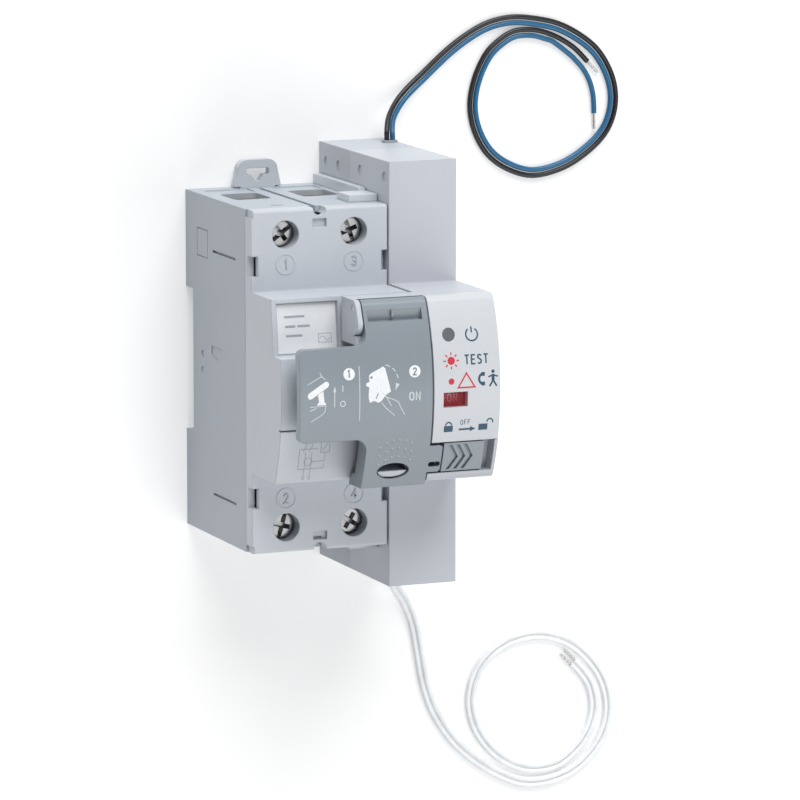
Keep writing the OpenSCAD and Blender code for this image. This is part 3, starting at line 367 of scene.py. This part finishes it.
WHITE_ROUTE = [
    (23.2, -52.3, 9), (23.2, -53.2, 9), (23.2, -54.5, 9),
    (24.8, -58, 6.2), (27.6, -62, 3.4), (30.6, -66, 1.6),
    (33, -71.5, 0.8), (34.5, -79, 0.7), (36, -87, 0.7), (39, -95, 0.7), (44.5, -103, 0.7),
    (52, -109.5, 0.7), (60, -114, 0.7), (66, -115.5, 0.7), (72.5, -115, 0.7), (79, -112.5, 0.7),
    (84.5, -107.5, 0.7), (87.5, -101.5, 0.7), (88, -95, 0.7), (86, -88.5, 0.7), (82, -83, 0.7),
    (76.5, -78.5, 0.7), (69, -76, 0.7), (61.5, -76.5, 0.7), (55, -79.5, 0.7), (50.5, -84.5, 0.7),
    (48.5, -91.5, 0.7), (49.5, -98, 0.7), (52.5, -103.5, 0.7), (57, -108, 0.7), (62.5, -111, 0.7),
    (68, -112, 0.7), (74, -111, 0.7), (79.5, -107, 0.7), (83, -101.8, 0.7), (84.2, -96, 0.7),
    (83, -90.5, 0.7), (80.5, -86.6, 0.7), (78, -84, 0.7),
]
BLUE_SHARE = 32  # the blue wire runs beside the black one for this many route points


def metres(points):
    return [Vector(point) * MM for point in points]


def smooth(points, steps):
    """Points on one smooth curve through the given ones."""
    last = len(points) - 1
    curve = []
    for i in range(last):
        a, b, c, d = (points[max(0, min(last, i + k))] for k in (-1, 0, 1, 2))
        for k in range(steps):
            t = k / steps
            bend = 2 * a - 5 * b + 4 * c - d + t * (3 * (b - c) + d - a)
            curve.append(b + 0.5 * t * (c - a + t * bend))
    return [*curve, points[last]]


def heading(points, i):
    last = len(points) - 1
    return (points[min(last, i + 1)] - points[max(0, i - 1)]).normalized()


def beside(points, distance):
    """The same route, moved sideways in plan."""
    moved = []
    for i, point in enumerate(points):
        ahead = heading(points, i)
        moved.append(point + distance * Vector((ahead.y, -ahead.x, 0)).normalized())
    return moved


def add_curve(name, points, radius, material):
    data = bpy.data.curves.new(name, "CURVE")
    data.dimensions = "3D"
    data.bevel_depth = radius
    data.bevel_resolution = 6
    data.use_fill_caps = True
    spline = data.splines.new("POLY")
    spline.points.add(len(points) - 1)
    for target, point in zip(spline.points, points):
        target.co = (*point, 1)
    data.materials.append(material)
    piece = bpy.data.objects.new(name, data)
    bpy.context.scene.collection.objects.link(piece)
    return piece


def add_mesh(name, builder, material):
    bmesh.ops.recalc_face_normals(builder, faces=builder.faces)
    mesh = bpy.data.meshes.new(name)
    builder.to_mesh(mesh)
    builder.free()
    mesh.materials.append(material)
    piece = bpy.data.objects.new(name, mesh)
    bpy.context.scene.collection.objects.link(piece)
    return piece


def add_tube(builder, path, radius, sides):
    rings = []
    for i, point in enumerate(path):
        ahead = heading(path, i)
        side = Vector((ahead.y, -ahead.x, 0)).normalized()
        above = side.cross(ahead)
        ring = []
        for k in range(sides):
            angle = 2 * math.pi * k / sides
            outwards = math.cos(angle) * side + math.sin(angle) * above
            ring.append(builder.verts.new(point + radius * outwards))
        rings.append(ring)
    for low, high in zip(rings, rings[1:]):
        for k in range(sides):
            n = (k + 1) % sides
            builder.faces.new((low[k], low[n], high[n], high[k]))
    builder.faces.new(rings[0][::-1])
    builder.faces.new(rings[-1])


def bare_strands(name, wire, material):
    """The stripped end of a wire: six tinned strands laid round a seventh."""
    length, strand_radius, lay, circle = 4 * MM, 0.12 * MM, 7 * MM, 0.235 * MM
    start, ahead = wire[-1], heading(wire, len(wire) - 1)
    side = Vector((ahead.y, -ahead.x, 0)).normalized()
    above = side.cross(ahead)
    steps = 12
    builder = bmesh.new()
    for k in range(7):
        offset = 0 if k == 6 else circle
        path = []
        for i in range(steps + 1):
            along = length * i / steps
            angle = 2 * math.pi * (k / 6 + along / lay)
            outwards = math.cos(angle) * side + math.sin(angle) * above
            path.append(start + along * ahead + offset * outwards)
        add_tube(builder, path, strand_radius, 7)
    return add_mesh(name, builder, material)


def lay_wires(materials):
    """The four wires with their bare ends: each pair of them runs side by side."""
    black = smooth(metres(BLACK_ROUTE), 5)
    shared = smooth(metres(BLACK_ROUTE[:BLUE_SHARE]), 2)
    blue_points = beside(shared, WIRE_GAP) + smooth(metres(BLUE_TAIL), 2)
    white = smooth(metres(WHITE_ROUTE), 5)
    wires = [
        ("black_wire", black, "black_wire", "wire_black"),
        ("blue_wire", smooth(blue_points, 3), "blue_wire", "wire_blue"),
        ("white_wire_a", white, "white_wire", "wire_white"),
        ("white_wire_b", beside(white, -WIRE_GAP), "white_wire", "wire_white"),
    ]
    for node, path, key, slot in wires:
        wire = add_curve(f"{node}_lead", path, WIRE_D / 2, materials[key])
        end = bare_strands(f"{node}_strands", path, materials["tinned"])
        for piece in (wire, end):
            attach(piece, "housing")
        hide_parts(node)
        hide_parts("bare_wire_ends")


# ---------------------------------------------------------------- prints
# A print is drawn as flat loops of (x, y) in millimetres: x from the device's left side and y
# from its middle. The loops are then laid on the surface that carries them.

FILM = 0.02  # thickness of a print, mm
NUMERAL_RELIEF = 0.16  # how far the embossed numerals stand out, mm
MITRE_LIMIT = 0.4  # keeps the mitre of a sharp corner short
GRID = 1.2 * MM  # longest step of a print across a curved surface
SINK = 0.01 * MM  # how far a print's underside lies below its surface


def ribbon(points, width, closed=False):
    """A line of even width with mitred corners, as a list of four-sided loops."""
    flat = [Vector(point) for point in points]
    count = len(flat)
    left, right = [], []
    for i, point in enumerate(flat):
        before = flat[i - 1] if i > 0 or closed else None
        after = flat[(i + 1) % count] if i < count - 1 or closed else None
        incoming = (point - before).normalized() if before is not None else None
        outgoing = (after - point).normalized() if after is not None else incoming
        incoming = incoming or outgoing
        normal_in = Vector((-incoming.y, incoming.x))
        normal_out = Vector((-outgoing.y, outgoing.x))
        mitre = (normal_in + normal_out).normalized()
        reach = width / 2 / max(MITRE_LIMIT, mitre.dot(normal_in))
        left.append(point + reach * mitre)
        right.append(point - reach * mitre)
    stretch = range(count if closed else count - 1)
    return [[left[i], left[(i + 1) % count], right[(i + 1) % count], right[i]] for i in stretch]


def arc(centre, radius, start, end, steps):
    """Points on a circle, from one angle to another in degrees."""
    angles = [math.radians(start + (end - start) * i / steps) for i in range(steps + 1)]
    return [(centre[0] + radius * math.cos(a), centre[1] + radius * math.sin(a)) for a in angles]


def disc(centre, radius, steps=28):
    return [arc(centre, radius, 0, 360, steps)[:-1]]


def hoop(centre, radius, width, steps=28):
    return ribbon(arc(centre, radius, 0, 360, steps)[:-1], width, closed=True)


def block(low, high):
    return [[(low[0], low[1]), (high[0], low[1]), (high[0], high[1]), (low[0], high[1])]]


def arrow_head(tip, back, width):
    """A triangle from its tip to the middle of its back edge."""
    tip, back = Vector(tip), Vector(back)
    along = (tip - back).normalized()
    side = Vector((-along.y, along.x)) * width / 2
    return [[tip, back + side, back - side]]


CELL_WIDTH, CELL_HEIGHT = 4, 6
# Strokes of the few generic signs, each in its cell.
GLYPHS = {
    "1": [[(1.2, 4.8), (2.3, 6), (2.3, 0)]],
    "2": [[(0.5, 4.6), (1.1, 5.7), (2.4, 6), (3.4, 5.2), (3.3, 3.9), (0.5, 0), (3.6, 0)]],
    "3": [
        [
            (0.6, 5.4), (2, 6), (3.3, 5.2), (3.2, 3.8), (1.8, 3.2),
            (3.4, 2.4), (3.4, 0.9), (2, 0), (0.5, 0.6),
        ]
    ],
    "4": [[(2.8, 0), (2.8, 6), (0.4, 1.8), (3.7, 1.8)]],
    "T": [[(0.2, 6), (3.8, 6)], [(2, 6), (2, 0)]],
    "E": [[(3.6, 6), (0.6, 6), (0.6, 0), (3.6, 0)], [(0.6, 3.1), (3.1, 3.1)]],
    "S": [[(3.5, 5.3), (2.2, 6), (0.8, 5.5), (0.7, 4), (3.2, 2.4), (3.3, 0.9), (2, 0), (0.5, 0.6)]],
    "O": [[(2, 6), (0.7, 5.2), (0.3, 3), (0.7, 0.8), (2, 0), (3.3, 0.8), (3.7, 3), (3.3, 5.2), (2, 6)]],
    "N": [[(0.5, 0), (0.5, 6), (3.5, 0), (3.5, 6)]],
    "F": [[(0.6, 0), (0.6, 6), (3.6, 6)], [(0.6, 3.1), (3.1, 3.1)]],
}


def lettering(signs, low, height, width, stroke):
    """Plain line signs in a row, from their lower left corner."""
    loops = []
    across, up = width / CELL_WIDTH, height / CELL_HEIGHT
    pitch = 1.3 * width
    for i, sign in enumerate(signs):
        for line in GLYPHS[sign]:
            points = [(low[0] + i * pitch + x * across, low[1] + y * up) for x, y in line]
            loops += ribbon(points, stroke)
    return loops


def on_arch(radius=ARCH_R, front=FRONT):
    """The height of an arched front, as a function of the place on it."""
    return lambda x, y: front - radius + math.sqrt(radius**2 - y**2)


def print_on(name, loops, height_of, thickness, material, body, slot):
    """Lays flat loops on a surface as one thin closed film."""
    builder = bmesh.new()
    for loop in loops:
        points = [Vector((LEFT + x * MM, y * MM, 0)) for x, y in loop]
        made = [builder.verts.new(point) for point in points]
        for triangle in tessellate_polygon([points]):
            builder.faces.new([made[i] for i in triangle])
    ys = [vert.co.y for vert in builder.verts]
    cut = math.floor(min(ys) / GRID) * GRID
    while cut < max(ys):
        everything = [*builder.verts, *builder.edges, *builder.faces]
        plane = {"plane_co": (0, cut, 0), "plane_no": (0, 1, 0)}
        bmesh.ops.bisect_plane(builder, geom=everything, dist=1e-8, **plane)
        cut += GRID
    for vert in builder.verts:
        vert.co.z = height_of(vert.co.x, vert.co.y) - SINK
    bmesh.ops.recalc_face_normals(builder, faces=builder.faces)
    for face in builder.faces:
        if face.normal.z < 0:
            face.normal_flip()
    grown = bmesh.ops.extrude_face_region(builder, geom=list(builder.faces))
    for element in grown["geom"]:
        if isinstance(element, bmesh.types.BMVert):
            element.co.z += thickness * MM + SINK
    piece = add_mesh(name, builder, material)
    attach(piece, body)


def first_step(put):
    """Step one: a hand moves the toggle up."""
    handle = [
        (3.7, 0.2), (3.3, 0.9), (3.6, 1.6), (7.9, 4.2),
        (8.5, 4.1), (8.8, 3.5), (8.5, 2.9), (4.4, 0.3),
    ]
    neck = [(5.9, 1.1), (6.3, 1.4), (7.3, 2.0), (7.5, -0.5), (8.1, -1.3), (5.6, -1.3), (6.2, -0.5)]
    outlines = ribbon([(3.4, 3.7), (6.8, 5.4), (7.2, 5.2), (7.9, 4.7)], 0.18)
    outlines += ribbon([(6.5, 6.4), (7.1, 5.3)], 0.18)
    outlines += ribbon([(3.9, -1.7), (7.9, -1.5), (7.7, -2.9), (7.1, -3.6), (4.2, -5.2)], 0.18)
    outlines += ribbon([(3.9, -2.6), (5.6, -2.0)], 0.18)
    put("toggle_sign", [handle, neck], "white_ink")
    put("toggle_outline", outlines)
    arrow = ribbon([(10.1, -2.0), (10.15, 1.9)], 0.22)
    put("up_arrow", arrow + arrow_head((10.2, 3.0), (10.15, 1.6), 0.8))
    put("line_sign", ribbon([(12.2, 3.0), (12.2, 1.6)], 0.24))
    put("circle_sign", hoop((12.2, -1.3), 0.62, 0.24))
    put("step_one_disc", disc((13.9, 5.6), 1.45), "white_ink")
    put("step_one", lettering("1", (13.3, 4.8), 1.7, 1.05, 0.3), "flap_ink", 2 * FILM)


def second_step(put):
    """Step two: a hand swings the device on."""
    device = [
        (18.9, 5.0), (19.5, 5.5), (22.6, 6.9), (23.1, 6.4), (24.4, 0.9),
        (23.2, 0.2), (21.9, -1.3), (21.2, -1.6), (20.1, -1.1), (19.0, -1.5),
        (18.7, 0.1), (18.9, 2.2), (18.1, 2.6), (18.2, 3.2), (19.0, 3.5),
    ]
    put("device_sign", [device], "white_ink")
    marks = disc((19.5, 4.5), 0.3, 12) + ribbon([(20.6, -0.6), (21.2, 0.7)], 0.2)
    put("device_marks", marks, "flap_ink", 2 * FILM)
    thumb = [(22.3, 0.7), (23.2, -0.4), (24.8, -0.9), (26.3, -1.7), (26.9, -3.0), (28.0, -4.9)]
    hand = ribbon(thumb, 0.2)
    hand += ribbon([(22.0, -1.6), (23.3, -3.1), (25.4, -4.9)], 0.2)
    hand += ribbon([(22.9, 0.2), (24.6, -2.6)], 0.2)
    put("hand_outline", hand)
    swing = []
    for start, end in ((78, 60), (50, 34), (24, 8)):
        swing += ribbon(arc((22.4, 3.4), 3.9, start, end, 5), 0.26)
    swing += arrow_head((25.5, 1.1), (26.2, 2.7), 1.0)
    put("swing_arrow", swing)
    put("step_two_disc", disc((30.6, 5.3), 1.45), "white_ink")
    put("step_two", lettering("2", (30.05, 4.5), 1.6, 1.1, 0.28), "flap_ink", 2 * FILM)
    put("on_sign", lettering("ON", (29.1, -1.5), 1.9, 1.25, 0.34))


def flap_prints(materials):
    surface = on_arch()

    def put(name, loops, key="pale_ink", thickness=FILM):
        print_on(f"flap_{name}", loops, surface, thickness, materials[key], "flap", "flap_grey")

    first_step(put)
    put("rule", ribbon([(16.5, 7.3), (16.5, -5.6)], 0.2))
    second_step(put)


def panel_prints(materials):
    surface = on_arch()

    def put(name, loops, key):
        print_on(f"panel_{name}", loops, surface, FILM, materials[key], "housing", "panel_white")

    power = ribbon(arc((45.7, 13.1), 1.5, 125, 415, 26), 0.36)
    power += ribbon([(45.7, 14.9), (45.7, 13.5)], 0.36)
    put("power_sign", power, "navy_ink")
    sun = 40.0, 7.2
    rays = disc(sun, 0.95)
    for start, end in zip(arc(sun, 1.35, 0, 315, 7), arc(sun, 2.0, 0, 315, 7)):
        rays += ribbon([start, end], 0.32)
    put("sun_sign", rays, "red_ink")
    put("test_sign", lettering("TEST", (43.4, 6.2), 2.1, 1.25, 0.36), "navy_ink")
    put("fault_dot", disc((39.9, 2.3), 0.75), "red_ink")
    triangle = ribbon([(41.6, 0.7), (45.9, 0.7), (43.75, 4.1)], 0.36, closed=True)
    put("fault_triangle", triangle, "red_ink")
    handset = ribbon(arc((48.3, 2.5), 1.3, 115, 245, 12), 0.55)
    handset += block((47.6, 3.2), (48.5, 4.1)) + block((47.6, 0.9), (48.5, 1.8))
    put("signal_handset", handset, "navy_ink")
    figure = disc((50.6, 4.15), 0.42, 16) + ribbon([(49.4, 2.9), (50.6, 3.3), (51.8, 2.9)], 0.36)
    figure += ribbon([(50.6, 3.5), (50.6, 2.0)], 0.75)
    figure += ribbon([(49.7, 0.6), (50.6, 2.1), (51.5, 0.6)], 0.42)
    put("person_sign", figure, "navy_ink")
    shackles = {"locked": (39.4, 0, 0.2, 0, 180), "unlocked": (48.3, 1.7, 0.5, -20, 180)}
    for name, (x, aside, above, start, end) in shackles.items():
        lock = block((x - 1.15, -9.9), (x + 1.15, -8.4))
        lock += ribbon(arc((x + aside, above - 8.5), 0.75, start, end, 12), 0.32)
        put(f"{name}_sign", lock, "navy_ink")
    slide = block((42.1, -9.68), (45.2, -9.22)) + arrow_head((46.4, -9.45), (45.0, -9.45), 1.3)
    put("slide_arrow", slide, "navy_ink")
    put("off_sign", lettering("OFF", (42.4, -8.3), 1.15, 0.72, 0.15), "navy_ink")


def flag_print(materials):
    """The white sign on the red flag, seen through the window: a contact bar and a rule."""
    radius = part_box("position_flag")[1].z - TOGGLE_AXLE_Z
    surface = on_arch(radius, TOGGLE_AXLE_Z + radius)
    loops = ribbon([(38.6, -1.1), (38.6, -3.4)], 0.5) + ribbon([(39.3, -2.3), (40.1, -2.3)], 0.25)
    loops += lettering("ON", (40.5, -3.2), 1.9, 1.15, 0.3)
    print_on("flag_sign", loops, surface, FILM, materials["white_ink"], "toggle", "flag_red")


def label_prints(materials):
    """Plain rules in place of lines of print, and the sign for the current's waveform."""
    low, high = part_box("label_card")
    card_thickness = 0.22 * MM
    fall = (high.z - low.z - card_thickness) / (high.y - low.y)

    def top_at(x, y):
        return high.z - fall * (y - low.y)

    look = materials["soft_ink"], "housing", "printed_card"
    half_rule, line = 0.28, 0.16
    rules = []
    for y, start, end in ((17.6, 3.4, 8.6), (15.3, 3.6, 6.2), (15.3, 6.7, 9.9), (13.1, 3.7, 7.9)):
        rules += block((start, y - half_rule), (end, y + half_rule))
    print_on("label_rules", rules, top_at, FILM / 2, *look)
    steps = [i / 12 for i in range(13)]
    wave = [(12.3 + 2.6 * t, 12.2 + 0.5 * math.sin(2 * math.pi * t)) for t in steps]
    border = [(12.0, 11.2), (15.2, 11.2), (15.2, 13.3), (12.0, 13.3)]
    sign = ribbon(wave, line) + ribbon(border, line, closed=True)
    print_on("label_waveform", sign, top_at, FILM / 2, *look)


def nose_diagram(materials):
    """The connection diagram printed low on the breaker's nose."""
    surface = on_arch(NOSE_R, NOSE_FRONT)
    width = 0.16
    lines = []
    for x in (6.8, 8.4):
        lines += ribbon([(x, -11.0), (x, -12.6)], width) + ribbon([(x, -12.6), (x - 0.7, -14.0)], width)
        lines += ribbon([(x, -14.2), (x, -20.6)], width)
        for y in (-10.9, -20.8):
            lines += hoop((x, y), 0.28, 0.12, 12)
    lines += ribbon([(5.2, -13.4), (9.8, -13.4)], width)
    lines += hoop((7.6, -16.6), 1.0, width, 20)
    lines += ribbon([(10.6, -11.6), (12.8, -11.6), (12.8, -14.4), (10.6, -14.4)], width, closed=True)
    lines += ribbon([(11.0, -13.9), (12.4, -12.1)], width)
    lines += ribbon([(8.6, -16.6), (11.7, -16.6), (11.7, -14.4)], width)
    lines += ribbon([(5.2, -13.4), (5.2, -18.4), (11.7, -18.4), (11.7, -17.4)], width)
    print_on("nose_diagram", lines, surface, FILM, materials["soft_ink"], "housing", "breaker_front")


def numerals(materials):
    """Embossed terminal numbers inside their rings."""
    height, width, stroke = 2.2, 1.5, 0.32
    places = {"1": (8.75, 28.4), "2": (8.75, -28.4), "3": (26.25, 28.4), "4": (26.25, -28.4)}
    look = materials["cover"], "housing", "breaker_front"
    for sign, (x, y) in places.items():
        loops = lettering(sign, (x - width / 2, y - height / 2), height, width, stroke)
        print_on(f"numeral_{sign}", loops, lambda x, y: SHOULDER, NUMERAL_RELIEF, *look)


def grip_dots(materials):
    """Three arched rows of low round dots where a finger lifts the flap."""
    surface = on_arch()
    rows, columns, row_pitch, pitch = 3, 6, 2.1, 1.6
    first_x, top_y, middle, bow = 22.3, -11.0, 2.8, 0.22
    radius, flatness, sink = 0.32 * MM, 0.8, 0.05 * MM
    builder = bmesh.new()
    for row in range(rows):
        for column in range(columns):
            x = first_x + pitch * column
            y = top_y - row_pitch * row - bow * (column - middle) ** 2
            centre = Vector((LEFT + x * MM, y * MM, 0))
            centre.z = surface(centre.x, centre.y) - sink
            dome = bmesh.ops.create_uvsphere(builder, u_segments=14, v_segments=8, radius=radius)
            for vert in dome["verts"]:
                vert.co = Vector((vert.co.x, vert.co.y, vert.co.z * flatness)) + centre
    piece = add_mesh("flap_grip_dots", builder, materials["dot"])
    piece.data.shade_smooth()
    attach(piece, "flap")


# ---------------------------------------------------------------- stage


def add_floor():
    """A wide pale floor with a little light of its own, so that it fades to white."""
    half, drop = 3.0, 0.05 * MM
    mesh = bpy.data.meshes.new("floor")
    corners = [(-half, -half, -drop), (half, -half, -drop), (half, half, -drop), (-half, half, -drop)]
    mesh.from_pydata(corners, [], [(0, 1, 2, 3)])
    paint = Paint("pale_floor")
    tone = paint.noise(3, 2)
    paint.link(paint.ramp(tone, (0.61, 0.61, 0.61), (0.64, 0.64, 0.64)), "Base Color")
    paint.set(Roughness=0.9, Specular_IOR_Level=0.1)
    paint.set(Emission_Color=(1, 1, 1, 1), Emission_Strength=0.38)
    mesh.materials.append(paint.material)
    floor = bpy.data.objects.new("floor", mesh)
    bpy.context.scene.collection.objects.link(floor)


def add_light(name, direction, strength, spread):
    """A wide, even softbox far away, in the given direction from the object."""
    data = bpy.data.lights.new(name, "SUN")
    data.energy = strength
    data.angle = math.radians(spread)
    light = bpy.data.objects.new(name, data)
    light.rotation_mode = "QUATERNION"
    light.rotation_quaternion = (-Vector(direction)).to_track_quat("-Z", "Y")
    bpy.context.scene.collection.objects.link(light)


def add_stage():
    add_floor()
    add_light("top_light", (0.0, 0.85, 0.53), 3.0, 50)
    add_light("front_light", (0.25, -0.6, 0.76), 2.0, 70)
    world = bpy.data.worlds.new("studio")
    world.use_nodes = True
    background = world.node_tree.nodes["Background"]
    background.inputs["Color"].default_value = (0.93, 0.96, 1.0, 1)
    background.inputs["Strength"].default_value = 0.18
    bpy.context.scene.world = world
    bpy.context.scene.view_settings.view_transform = "Standard"


# ---------------------------------------------------------------- build

add_camera()
materials = all_materials()
lay_wires(materials)
dress_nodes(materials)
flap_prints(materials)
panel_prints(materials)
flag_print(materials)
label_prints(materials)
nose_diagram(materials)
numerals(materials)
grip_dots(materials)
add_stage()
